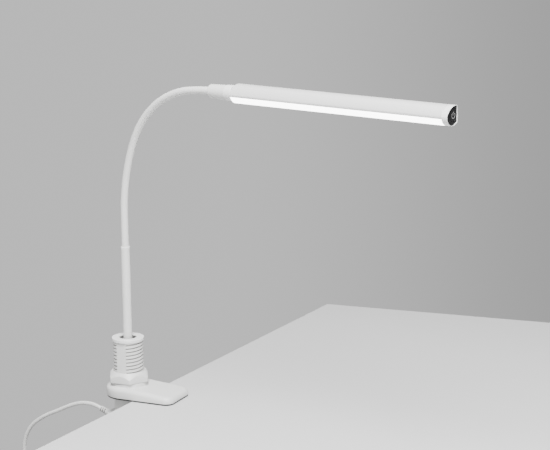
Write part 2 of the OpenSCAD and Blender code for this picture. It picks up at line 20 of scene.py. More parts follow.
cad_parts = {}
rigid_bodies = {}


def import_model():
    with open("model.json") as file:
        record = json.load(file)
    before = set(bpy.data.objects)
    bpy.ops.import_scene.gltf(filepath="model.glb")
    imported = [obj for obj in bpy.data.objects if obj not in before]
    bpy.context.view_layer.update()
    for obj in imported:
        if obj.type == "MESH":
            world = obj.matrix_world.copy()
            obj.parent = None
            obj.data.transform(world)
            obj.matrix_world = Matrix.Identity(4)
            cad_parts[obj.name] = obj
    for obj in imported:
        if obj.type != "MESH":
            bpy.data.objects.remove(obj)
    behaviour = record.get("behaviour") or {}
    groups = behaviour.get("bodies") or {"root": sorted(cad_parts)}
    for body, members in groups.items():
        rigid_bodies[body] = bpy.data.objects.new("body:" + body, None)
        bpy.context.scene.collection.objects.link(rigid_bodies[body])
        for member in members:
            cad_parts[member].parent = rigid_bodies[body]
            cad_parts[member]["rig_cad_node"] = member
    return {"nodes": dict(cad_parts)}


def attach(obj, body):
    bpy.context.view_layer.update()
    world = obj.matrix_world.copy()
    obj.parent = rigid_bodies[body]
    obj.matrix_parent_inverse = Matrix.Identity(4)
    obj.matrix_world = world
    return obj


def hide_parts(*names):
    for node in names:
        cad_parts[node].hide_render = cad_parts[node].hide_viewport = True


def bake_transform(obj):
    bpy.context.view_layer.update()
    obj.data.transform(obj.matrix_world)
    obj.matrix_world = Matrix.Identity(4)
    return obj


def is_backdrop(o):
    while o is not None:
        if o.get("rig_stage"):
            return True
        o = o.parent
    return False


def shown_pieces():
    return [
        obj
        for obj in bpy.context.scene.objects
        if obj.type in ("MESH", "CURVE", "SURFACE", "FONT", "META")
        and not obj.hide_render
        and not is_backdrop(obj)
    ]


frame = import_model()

LOG = logging.getLogger("lamp")
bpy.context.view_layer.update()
Array = np.ndarray
TAU = 2.0 * math.pi


# ---------------------------------------------------------------- shader maths


class Wire:
    """A shader socket that ordinary Python expressions can work on."""

    def __init__(self, bench: "Bench", socket: bpy.types.NodeSocket) -> None:
        """Wraps one output socket."""
        self.bench = bench
        self.socket = socket

    def _maths(self, operation: str, a: Any, b: Any) -> "Wire":
        """Adds one Math node."""
        return self.bench.node("ShaderNodeMath", {"operation": operation}, {0: a, 1: b})

    def __add__(self, other: Any) -> "Wire":
        """Sum of two values."""
        return self._maths("ADD", self, other)

    def __radd__(self, other: Any) -> "Wire":
        """Sum with a plain number first."""
        return self._maths("ADD", other, self)

    def __sub__(self, other: Any) -> "Wire":
        """Difference of two values."""
        return self._maths("SUBTRACT", self, other)

    def __rsub__(self, other: Any) -> "Wire":
        """Difference from a plain number."""
        return self._maths("SUBTRACT", other, self)

    def __mul__(self, other: Any) -> "Wire":
        """Product of two values."""
        return self._maths("MULTIPLY", self, other)

    def __rmul__(self, other: Any) -> "Wire":
        """Product with a plain number first."""
        return self._maths("MULTIPLY", other, self)


class Bench:
    """The node tree of a material or a world, with one way in for every node."""

    def __init__(self, owner: bpy.types.Material | bpy.types.World) -> None:
        """Clears the owner's tree and keeps it.

        Args:
            owner: the material or world whose tree is built.
        """
        owner.use_nodes = True
        self.tree = owner.node_tree
        self.tree.nodes.clear()

    def node(self, kind: str, settings: dict[str, Any], sockets: dict[Any, Any], out: Any = 0) -> Any:
        """Adds one node.

        Args:
            kind: the node's Blender type.
            settings: its own properties, set first.
            sockets: input name or number to a value or a Wire.
            out: the output's name or number, or None for a node that ends the tree.

        Returns:
            The chosen output as a Wire, or None.
        """
        made = self.tree.nodes.new(kind)
        for name, value in settings.items():
            setattr(made, name, value)
        for name, value in sockets.items():
            if isinstance(value, Wire):
                self.tree.links.new(value.socket, made.inputs[name])
            else:
                made.inputs[name].default_value = value
        return None if out is None else Wire(self, made.outputs[out])

    def noise(self, place: Wire, scale: float, detail: float = 3.0) -> Wire:
        """Soft noise between 0 and 1 over a place."""
        return self.node(
            "ShaderNodeTexNoise", {}, {"Vector": place, "Scale": scale, "Detail": detail}, "Fac"
        )

    def blend(self, amount: Wire, a: Sequence[float], b: Sequence[float]) -> Wire:
        """A colour between two colours."""
        return self.node(
            "ShaderNodeMix",
            {"data_type": "RGBA"},
            {0: amount, 6: (*a, 1.0), 7: (*b, 1.0)},
            2,
        )


CLOUD_SCALE = 38.0
# Painted shade: the grey that the base colour is multiplied towards where a mesh marks its grooves, slots and
# bore as shaded.
PAINTED_SHADE_TONE = (0.42, 0.41, 0.40, 1.0)


@dataclass(frozen=True)
class Finish:
    """A moulded, painted or metal finish with fine unevenness in tone, gloss and relief.

    Scales are in cycles per metre, bump depth is in metres.
    """

    name: str
    tone: tuple[float, float, float]
    rough: float = 0.45
    metal: float = 0.0
    mottle: float = 0.03
    grain: float = 2600.0
    relief: float = 0.00002
    specular: float = 0.5
    coat: float = 0.0
    stretch: tuple[float, float, float] = (1.0, 1.0, 1.0)
    glow: float = 0.0
    soft: float = 0.0
    slot: str = "white_plastic"

    def make(self) -> bpy.types.Material:
        """Builds the material once.

        Returns:
            The material, or the one already made under this name.
        """
        if self.name in bpy.data.materials:
            return bpy.data.materials[self.name]
        material = bpy.data.materials.new(self.name)
        bench = Bench(material)
        place = bench.node("ShaderNodeTexCoord", {}, {}, "Object")
        place = bench.node("ShaderNodeMapping", {}, {"Vector": place, "Scale": self.stretch})
        cloud = bench.noise(place, CLOUD_SCALE)
        grain = bench.noise(place, self.grain, 2.0)
        dark = tuple(c * (1.0 - self.mottle) for c in self.tone)
        light = tuple(min(1.0, c * (1.0 + self.mottle)) for c in self.tone)
        colour = bench.blend(cloud * 0.6 + grain * 0.4, dark, light)
        # Painted shade: a point attribute on the mesh darkens the base colour towards the grey above,
        # standing in for the shade in grooves, slots and the stem's bore.
        cavity = bench.node("ShaderNodeAttribute", {"attribute_name": "cavity"}, {}, "Fac")
        colour = bench.node(
            "ShaderNodeMix",
            {"data_type": "RGBA", "blend_type": "MULTIPLY"},
            {0: cavity, 6: colour, 7: PAINTED_SHADE_TONE},
            2,
        )
        rough = self.rough + (cloud - 0.5) * 0.12 + (grain - 0.5) * 0.10
        bump = bench.node(
            "ShaderNodeBump", {}, {"Strength": 0.6, "Distance": self.relief, "Height": grain}
        )
        sockets: dict[Any, Any] = {
            "Base Color": colour,
            "Roughness": rough,
            "Metallic": self.metal,
            "Specular IOR Level": self.specular,
            "Coat Weight": self.coat,
            "Normal": bump,
        }
        if self.soft:
            sockets["Subsurface Weight"] = self.soft
            sockets["Subsurface Radius"] = (0.004, 0.004, 0.004)
            sockets["Subsurface Scale"] = 1.0
        if self.glow:
            sockets["Emission Color"] = colour
            sockets["Emission Strength"] = self.glow
        shader = bench.node("ShaderNodeBsdfPrincipled", {}, sockets)
        bench.node("ShaderNodeOutputMaterial", {}, {"Surface": shader}, None)
        return material


class Look(Enum):
    """Every finish on the lamp and on the stage around it."""

    CASE = Finish("white_case", (0.64, 0.64, 0.63), rough=0.42, mottle=0.025)
    RING = Finish("pale_ring", (0.74, 0.74, 0.735), rough=0.30, mottle=0.02, slot="ring_plastic")
    NECK = Finish(
        "neck_paint", (0.66, 0.66, 0.65), rough=0.40, mottle=0.03, grain=1900.0, slot="neck_metal"
    )
    HEAD = Finish(
        "head_paint",
        (0.72, 0.72, 0.715),
        rough=0.36,
        metal=0.25,
        mottle=0.02,
        grain=3200.0,
        stretch=(0.06, 0.06, 1.0),
        relief=0.000008,
    )
    LENS = Finish(
        "milky_lens", (0.97, 0.97, 0.965), rough=0.45, glow=9.0, mottle=0.015, slot="lens"
    )
    RUBBER = Finish(
        "pad_rubber", (0.012, 0.012, 0.012), rough=0.72, grain=4200.0, relief=0.00005, slot="rubber"
    )
    CORD = Finish(
        "cord_sheath", (0.60, 0.60, 0.59), rough=0.34, mottle=0.05, soft=0.25, slot="cord_skin"
    )
    STEEL = Finish(
        "plain_steel", (0.52, 0.52, 0.53), rough=0.30, metal=1.0, grain=5200.0, slot="steel"
    )
    DARK = Finish(
        "dark_panel", (0.016, 0.016, 0.017), rough=0.45, mottle=0.10, specular=0.2, slot="dark_plastic"
    )
    ICON = Finish("icon_print", (0.30, 0.30, 0.30), rough=0.5, mottle=0.05, slot="dark_plastic")
    BOARD = Finish("circuit_board", (0.03, 0.17, 0.08), rough=0.35, coat=0.4, slot="circuit")
    CHIP = Finish("light_chip", (0.85, 0.76, 0.36), rough=0.3, mottle=0.06, slot="led_plastic")
    TABLE = Finish("table_top", (0.60, 0.60, 0.60), rough=0.55, mottle=0.015, grain=900.0)


def dress(piece: bpy.types.Object, look: Look) -> None:
    """Gives a piece its finish.

    Args:
        piece: a new piece, or a node from the frame.
        look: the finish it takes.
    """
    piece.data.materials.clear()
    piece.data.materials.append(look.value.make())


# ---------------------------------------------------------------- mesh making


def skin(
    name: str,
    rings: Array,
    closed: bool = False,
    sharp: float = 38.0,
    cavity: Array | None = None,
) -> bpy.types.Object:
    """Makes a closed mesh from a grid of points.

    Each row is a loop round the shape. Neighbouring rows are joined by four-sided faces. An
    open run of rows is closed at each end by a fan of triangles from the loop's mean point;
    a closed run joins its last row to its first. If the volume under the faces comes out
    negative, every face is turned round, so that all of them look outward.

    Args:
        name: the object's name.
        rings: points in millimetres, shaped (rows, columns, 3).
        closed: True if the rows themselves go round.
        sharp: the angle in degrees above which an edge stays crisp.
        cavity: painted shade for each point, from 0 to 1, more the deeper it lies in a groove, shaped (rows,
            columns).

    Returns:
        The new object, at the origin.
    """
    rows, cols = rings.shape[:2]
    points = rings.reshape(-1, 3) * 0.001
    i = np.arange(rows if closed else rows - 1)[:, None]
    j = np.arange(cols)[None, :]
    a, b = i * cols + j, i * cols + (j + 1) % cols
    c, d = ((i + 1) % rows) * cols + (j + 1) % cols, ((i + 1) % rows) * cols + j
    quads = np.stack([a, b, c, d], axis=-1).reshape(-1, 4)
    fans = np.zeros((0, 3), dtype=int)
    if not closed:
        ends = np.stack([points[:cols].mean(axis=0), points[-cols:].mean(axis=0)])
        k = np.arange(cols)
        first = np.stack([np.full(cols, rows * cols), (k + 1) % cols, k], axis=-1)
        base = (rows - 1) * cols
        last = np.stack([np.full(cols, rows * cols + 1), base + k, base + (k + 1) % cols], axis=-1)
        fans = np.concatenate([first, last])
        points = np.concatenate([points, ends])
    tris = np.concatenate([quads[:, [0, 1, 2]], quads[:, [0, 2, 3]], fans])
    p, q, r = (points[tris[:, n]] for n in range(3))
    if np.einsum("ij,ij->i", p, np.cross(q, r)).sum() < 0.0:
        quads, fans = quads[:, ::-1], fans[:, ::-1]
    mesh = bpy.data.meshes.new(name)
    mesh.from_pydata(points.tolist(), [], quads.tolist() + fans.tolist())
    mesh.update()
    mesh.shade_smooth()
    mesh.set_sharp_from_angle(angle=math.radians(sharp))
    # Painted shade: stored as a point attribute that darkens the base colour.
    if cavity is not None:
        depth = np.zeros(len(points), dtype=np.float32)
        depth[: rows * cols] = cavity.reshape(-1)
        mesh.attributes.new("cavity", "FLOAT", "POINT").data.foreach_set("value", depth)
    piece = bpy.data.objects.new(name, mesh)
    bpy.context.scene.collection.objects.link(piece)
    return piece


def rounded(corners: Sequence[Sequence[float]], steps: int = 5) -> Array:
    """A polygon with its corners rounded.

    Each corner (x, y, r) is replaced by points on the quadratic curve that leaves one side
    and joins the next at a distance r from the corner, with one more point a little before
    and after, so that flat sides keep flat shading.

    Args:
        corners: the corners, each with its rounding distance, in order.
        steps: points on each rounding.

    Returns:
        The outline's points, shaped (n, 2).
    """
    data = np.asarray(corners, dtype=float)
    place, reach = data[:, :2], data[:, 2:3]
    back = np.roll(place, 1, axis=0) - place
    ahead = np.roll(place, -1, axis=0) - place
    back /= np.linalg.norm(back, axis=1, keepdims=True)
    ahead /= np.linalg.norm(ahead, axis=1, keepdims=True)
    t = np.linspace(0.0, 1.0, steps)[None, :, None]
    start, stop = place + back * reach, place + ahead * reach
    arc = (
        (1 - t) ** 2 * start[:, None] + 2 * t * (1 - t) * place[:, None] + t**2 * stop[:, None]
    )
    lead = (place + back * reach * 1.2)[:, None]
    tail = (place + ahead * reach * 1.2)[:, None]
    out = np.concatenate([lead, arc, tail], axis=1)
    flat = out.reshape(-1, 2)
    keep = np.linalg.norm(np.roll(flat, -1, axis=0) - flat, axis=1) > 1e-6
    return flat[keep]


def turned(profile: Array, count: int = 96) -> Array:
    """A profile turned about the upright axis.

    Args:
        profile: points of (radius, height), shaped (n, 2).
        count: points round each ring.

    Returns:
        Rings of points, shaped (n, count, 3).
    """
    angle = np.arange(count) * TAU / count
    r, h = profile[:, :1], profile[:, 1:2]
    return np.stack(
        [r * np.cos(angle), r * np.sin(angle), np.broadcast_to(h, (len(profile), count))], axis=-1
    )


@dataclass(frozen=True)
class NeckPlane:
    """The upright plane that holds the neck and the head."""

    yaw: float = math.radians(-15.0)

    @property
    def outward(self) -> Array:
        """Unit vector from the stem along the head."""
        return np.array([math.cos(self.yaw), math.sin(self.yaw), 0.0])

    @property
    def sideways(self) -> Array:
        """Unit vector across the plane."""
        return np.array([-math.sin(self.yaw), math.cos(self.yaw), 0.0])

    def place(self, reach: Array, side: Array, height: Array) -> Array:
        """World points of places in the plane, all in millimetres.

        Args:
            reach: distances outward from the stem's axis.
            side: steps across the plane.
            height: heights above the table top.

        Returns:
            Points with the shape that the three arrays share, and a last axis of 3.
        """
        reach, side, height = np.broadcast_arrays(reach, side, height)
        up = np.array([0.0, 0.0, 1.0])
        return (
            reach[..., None] * self.outward + side[..., None] * self.sideways + height[..., None] * up
        )


PLANE = NeckPlane()


# ---------------------------------------------------------------- studio


@dataclass
class Studio:
    """Camera, lights, backdrop tone and the table top that the clamp grips."""

    eye: tuple[float, float, float] = (0.9583, -1.7022, 0.6065)
    heading: float = math.radians(24.5)
    pitch: float = math.radians(12.0)
    roll: float = math.radians(0.6)
    lens: float = 117.8
    edge_x: float = 17.6
    edge_slope: float = 0.0704
    table_t: float = 20.0
    table_y: tuple[float, float] = (-700.0, 457.0)
    table_w: float = 900.0
    aim: tuple[float, float, float] = (0.12, -0.03, 0.15)
    fade_from: float = -0.04
    fade_to: float = 0.19
    grey_left: float = 0.70
    grey_right: float = 0.42

    def camera(self) -> None:
        """Sets the camera: level with a small pitch down and a hair of roll."""
        ch, sh = math.cos(self.heading), math.sin(self.heading)
        cp, sp = math.cos(self.pitch), math.sin(self.pitch)
        cr, sr = math.cos(self.roll), math.sin(self.roll)
        level = np.array([ch, sh, 0.0])
        ahead = np.array([-sh * cp, ch * cp, -sp])
        crown = np.array([-sh * sp, ch * sp, cp])
        right = level * cr - crown * sr
        up = crown * cr + level * sr
        turn = Matrix([[right[k], up[k], -ahead[k], self.eye[k]] for k in range(3)] + [[0, 0, 0, 1]])
        data = bpy.data.cameras.new("camera")
        data.lens = self.lens
        data.sensor_width = 36.0
        data.sensor_fit = "HORIZONTAL"
        data.clip_end = 50.0
        camera = bpy.data.objects.new("camera", data)
        camera.matrix_world = turn
        bpy.context.scene.collection.objects.link(camera)
        bpy.context.scene.camera = camera

    def lamp(self, name: str, place: Sequence[float], size: float, watts: float) -> None:
        """Adds one soft square light that faces the lamp's middle.

        Args:
            name: the light's name.
            place: where it stands, in metres.
            size: the length of its side, in metres.
            watts: its power.
        """
        data = bpy.data.lights.new(name, "AREA")
        data.shape = "SQUARE"
        data.size = size
        data.energy = watts
        light = bpy.data.objects.new(name, data)
        spot = np.array(place)
        back = spot - np.array(self.aim)
        back /= np.linalg.norm(back)
        side = np.cross([0.0, 0.0, 1.0], back)
        side /= np.linalg.norm(side)
        up = np.cross(back, side)
        light.matrix_world = Matrix(
            [[side[k], up[k], back[k], spot[k]] for k in range(3)] + [[0, 0, 0, 1]]
        )
        bpy.context.scene.collection.objects.link(light)

    def world(self) -> None:
        """A plain grey surround that is a little lighter to the left."""
        world = bpy.data.worlds.new("surround")
        bpy.context.scene.world = world
        bench = Bench(world)
        ray = bench.node("ShaderNodeTexCoord", {}, {}, "Generated")
        rightward = (math.cos(self.heading), math.sin(self.heading), 0.0)
        turn = bench.node(
            "ShaderNodeVectorMath", {"operation": "DOT_PRODUCT"}, {0: ray, 1: rightward}, "Value"
        )
        tone = bench.node(
            "ShaderNodeMapRange",
            {"interpolation_type": "SMOOTHSTEP"},
            {
                "Value": turn,
                "From Min": self.fade_from,
                "From Max": self.fade_to,
                "To Min": self.grey_left,
                "To Max": self.grey_right,
            },
            "Result",
        )
        light = bench.node("ShaderNodeBackground", {}, {"Color": tone, "Strength": 1.0})
        bench.node("ShaderNodeOutputWorld", {}, {"Surface": light}, None)

    def table(self) -> None:
        """The table top: a slab whose near edge runs just behind the jaws' mouth.

        Its outline is a four-sided polygon; each ring of the skin is that outline drawn in by
        a little, at the heights of a small rounding along the upper and lower edges.
        """
        y0, y1 = self.table_y
        near = self.edge_x + self.edge_slope * y0
        far = self.edge_x + self.edge_slope * y1
        plan = np.array(
            [[near, y0], [self.table_w, y0], [self.table_w, y1 + 0.06 * self.table_w], [far, y1]]
        )
        middle = plan.mean(axis=0)
        steps = np.array([[1.2, 0.0], [0.35, 0.35], [0.0, 1.2]])
        draw = np.concatenate([steps[:, 0], steps[::-1, 0]])
        depth = np.concatenate([-self.table_t + steps[:, 1], -steps[::-1, 1]])
        sides = np.sign(middle - plan)
        ring = plan[None] + sides[None] * draw[:, None, None]
        rings = np.concatenate([ring, np.broadcast_to(depth[:, None, None], (6, 4, 1))], axis=-1)
        rings[..., 2] += np.where(rings[..., 2] > -self.table_t / 2, -0.15, 0.15)
        slab = skin("table_slab", rings, sharp=25.0)
        slab.data.materials.append(Look.TABLE.value.make())
        slab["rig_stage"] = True

    def build(self) -> None:
        """Builds the whole studio."""
        self.camera()
        self.world()
        self.table()
        self.lamp("key_light", (0.45, -0.75, 1.5), 0.7, 80.0)
        self.lamp("top_light", (-0.1, 0.5, 2.0), 1.4, 9.0)
        self.lamp("fill_light", (0.9, -1.6, 0.6), 1.0, 9.0)


# ---------------------------------------------------------------- cord


@dataclass
class Cord:
    """The cord: out of the base in a low arch, down, and round its tied coil to the plug."""

    width: float = 4.5
    exit_at: tuple[float, float] = (-25.4, -26.3)
    tilt: float = math.radians(20.0)
    relief_len: float = 13.6
    centre: tuple[float, float] = (-150.0, -150.0)
    radius: float = 25.0
    route: list[list[float]] = field(
        default_factory=lambda: [
            [-41.5, -20], [-49, -18], [-60, -18], [-71, -20.5], [-84, -26], [-95, -31.5],
            [-106, -36.5], [-119, -44], [-131, -54], [-139, -67], [-142.5, -82],
            [-140.5, -97], [-135, -111], [-128.5, -124], [-123.5, -137], [-121, -150],
        ]
    )
    slots: list[list[float]] = field(
        default_factory=lambda: [
            [4.0, -4.6], [4.0, 0.0], [4.0, 4.6], [0.0, 2.3], [0.0, -2.3], [-4.0, -4.6],
            [-4.0, 0.0], [-4.0, 4.6],
        ]
    )
    plug_at: tuple[float, float, float] = (-129.0, 9.2, -172.0)
    bundle_w: float = 4.6
    tie_r: tuple[float, float] = (7.3, 8.3)
    tie_w: float = 2.4

    def gland(self, along: Array) -> Array:
        """Points on the gland's axis, (reach, height), at distances out of the base."""
        along = np.asarray(along, dtype=float)
        return np.stack(
            [
                self.exit_at[0] - along * math.cos(self.tilt),
                self.exit_at[1] + along * math.sin(self.tilt),
            ],
            axis=-1,
        )

    def line(self) -> Array:
        """The cord's centreline.

        The open part is a smooth curve through listed points. In the coil, the turn number
        t sets an angle that goes round clockwise and a place in the bundle, which passes from
        one slot to the next over the last quarter of each turn by a smooth step. The tail
        leaves the last turn sideways and hangs straight down to the plug.

        Returns:
            Points in millimetres, shaped (n, 3).
        """
        lead = np.concatenate([self.gland([-18, -12, 0, self.relief_len - 1]), self.route])
        flat = np.stack([lead[:, 0], np.zeros(len(lead)), lead[:, 1]], axis=-1)
        drift = np.clip((np.arange(len(flat)) - (len(flat) - 6)) / 5.0, 0.0, 1.0)
        flat[:, 1] = -self.bundle_w * drift * drift * (3 - 2 * drift)
        slots = np.asarray(self.slots)
        turn = np.linspace(0.0, len(slots), 26 * len(slots) + 1)[:-3]
        index = np.minimum(turn.astype(int), len(slots) - 1)
        step = np.clip((turn - index - 0.70) / 0.30, 0.0, 1.0)
        step = (step * step * (3 - 2 * step))[:, None]
        following = np.minimum(index + 1, len(slots) - 1)
        place = slots[index] * (1 - step) + slots[following] * step
        angle = -turn * TAU
        r = self.radius + place[:, 0]
        side = place[:, 1] + 4.4 * np.clip((turn - (len(slots) - 0.45)) / 0.36, 0, 1) ** 1.5
        coil = np.stack(
            [self.centre[0] + r * np.cos(angle), side, self.centre[1] + r * np.sin(angle)], axis=-1
        )
        px, py, pz = self.plug_at
        tail = np.array([[px, py, pz + 16.0], [px, py, pz + 8.0], [px, py, pz], [px, py, pz - 3.0]])
        ctrl = np.concatenate([flat[:-1], coil[1:], tail])
        return self.smooth(ctrl)

    @staticmethod
    def smooth(ctrl: Array) -> Array:
        """A curve through the control points, with three steps between neighbours.

        Each span is the cubic whose slope at a control point is half the step between that
        point's two neighbours.

        Args:
            ctrl: control points, shaped (n, 3); the first and the last only steer the curve's ends.

        Returns:
            Points on the curve, shaped (m, 3).
        """
        p0, p1, p2, p3 = ctrl[:-3], ctrl[1:-2], ctrl[2:-1], ctrl[3:]
        t = (np.arange(3) / 3.0)[None, :, None]
        p0, p1, p2, p3 = (p[:, None] for p in (p0, p1, p2, p3))
        curve = 0.5 * (
            2 * p1
            + (p2 - p0) * t
            + (2 * p0 - 5 * p1 + 4 * p2 - p3) * t**2
            + (3 * p1 - p0 - 3 * p2 + p3) * t**3
        )
        return np.concatenate([curve.reshape(-1, 3), ctrl[-2:-1]])

    @staticmethod
    def tube(line: Array, radius: float, count: int) -> Array:
        """Rings of points round a line.

        The first direction across the line is the part of the sideways axis that is square to
        the line's slope; the second is square to both.

        Args:
            line: points on the line, shaped (n, 3).
            radius: the distance from the line.
            count: points round each ring.

        Returns:
            Rings of points, shaped (n, count, 3).
        """
        slope = np.gradient(line, axis=0)
        slope /= np.linalg.norm(slope, axis=1, keepdims=True)
        side = np.array([0.0, 1.0, 0.0]) - slope * slope[:, 1:2]
        side /= np.linalg.norm(side, axis=1, keepdims=True)
        other = np.cross(slope, side)
        angle = (np.arange(count) * TAU / count)[None, :, None]
        return (
            line[:, None]
            + radius * np.cos(angle) * side[:, None]
            + radius * np.sin(angle) * other[:, None]
        )

    def build(self) -> None:
        line = self.line()
        cord = skin("cord", self.tube(line, self.width / 2, 16))
        dress(cord, Look.CORD)
        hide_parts("cord_lead", "cord_coil", "cord_tail")
        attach(cord, "clamp")
        plug, tie = self.plug(), self.tie()

    def plug(self) -> bpy.types.Object:
        """The plug's grip: loops of a rounded box that narrow into the tail's collar.

        Each loop is a squared circle |x/a|^n + |y/b|^n = 1, whose half-sizes and squareness n
        change down its length.

        Returns:
            The new piece.
        """
        px, py, pz = self.plug_at
        rows = np.array(
            [
                [0.0, 2.5, 2.5, 2.0], [-0.4, 2.9, 2.9, 2.0], [-3.0, 3.0, 3.0, 2.0],
                [-3.6, 3.5, 3.3, 2.2], [-8.0, 4.3, 3.5, 2.6], [-10.4, 5.6, 3.7, 3.2],
                [-11.6, 7.0, 3.9, 4.5],
                [-13.0, 7.7, 4.0, 6.0], [-20.0, 7.8, 4.0, 6.0], [-34.8, 7.8, 4.0, 6.0],
                [-35.7, 7.5, 3.8, 6.0], [-36.0, 7.0, 3.4, 6.0],
            ]
        )
        angle = (np.arange(48) * TAU / 48)[None, :]
        power = 2.0 / rows[:, 3:4]
        x = rows[:, 1:2] * np.sign(np.cos(angle)) * np.abs(np.cos(angle)) ** power
        y = rows[:, 2:3] * np.sign(np.sin(angle)) * np.abs(np.sin(angle)) ** power
        z = np.broadcast_to(rows[:, :1], x.shape)
        plug = skin("plug_grip", np.stack([px + x, py + y, pz + z], axis=-1))
        dress(plug, Look.CORD)
        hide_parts("usb_plug")
        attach(plug, "clamp")
        return plug

    def tie(self) -> bpy.types.Object:
        """The tie round the top of the coil: a flat band turned about the bundle.

        Returns:
            The new piece.
        """
        r0, r1 = self.tie_r
        w = self.tie_w
        band = rounded([[r0, -w, 0.3], [r1, -w, 0.4], [r1, w, 0.4], [r0, w, 0.3]])
        ring = turned(band, 64)
        top = np.array([self.centre[0], 0.0, self.centre[1] + self.radius])
        rings = np.stack([ring[..., 2], ring[..., 0], ring[..., 1]], axis=-1) + top
        tie = skin("coil_tie", rings, closed=True)
        dress(tie, Look.RUBBER)
        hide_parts("cord_tie")
        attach(tie, "clamp")
        return tie

    def relief(self) -> None:
        """The tapered strain relief, with three slots cut in on each side.

        Its radius falls evenly to the tip. A slot takes the radius down over a short stretch
        of the length and over the two sides, but not at the top and bottom spines.
        """
        along = np.concatenate([[0.6, 1.8, 1.85], np.linspace(2.2, self.relief_len, 150)])
        base = np.interp(along, [0.6, 1.8, 3.1, 3.3, 13.1, 13.6], [4.2, 4.2, 4.1, 3.8, 3.1, 2.7])
        angle = np.arange(64) * TAU / 64
        deep = sum(
            np.clip(1.9 - np.abs(along - s) / 0.42, 0.0, 1.0) for s in (6.6, 9.2, 11.8)
        )
        across = np.clip((np.abs(np.sin(angle)) - 0.30) / 0.12, 0.0, 1.0)
        radius = base[:, None] - (base[:, None] - 2.45) * deep[:, None] * across[None, :]
        spot = self.gland(along)
        up = np.array([math.sin(self.tilt), 0.0, math.cos(self.tilt)])
        mid = np.stack([spot[:, 0], np.zeros(len(along)), spot[:, 1]], axis=-1)
        rings = (
            mid[:, None]
            + (radius * np.sin(angle))[..., None] * np.array([0.0, 1.0, 0.0])
            + (radius * np.cos(angle))[..., None] * up
        )
        # Painted shade: darker in the slots, across the sides where they are cut.
        cavity = np.clip(deep, 0.0, 1.0)[:, None] * across[None, :]
        piece = skin("strain_relief_boot", rings, sharp=50.0, cavity=cavity)
        dress(piece, Look.CORD)
        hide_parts("strain_relief")
        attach(piece, "clamp")


# ---------------------------------------------------------------- clamp


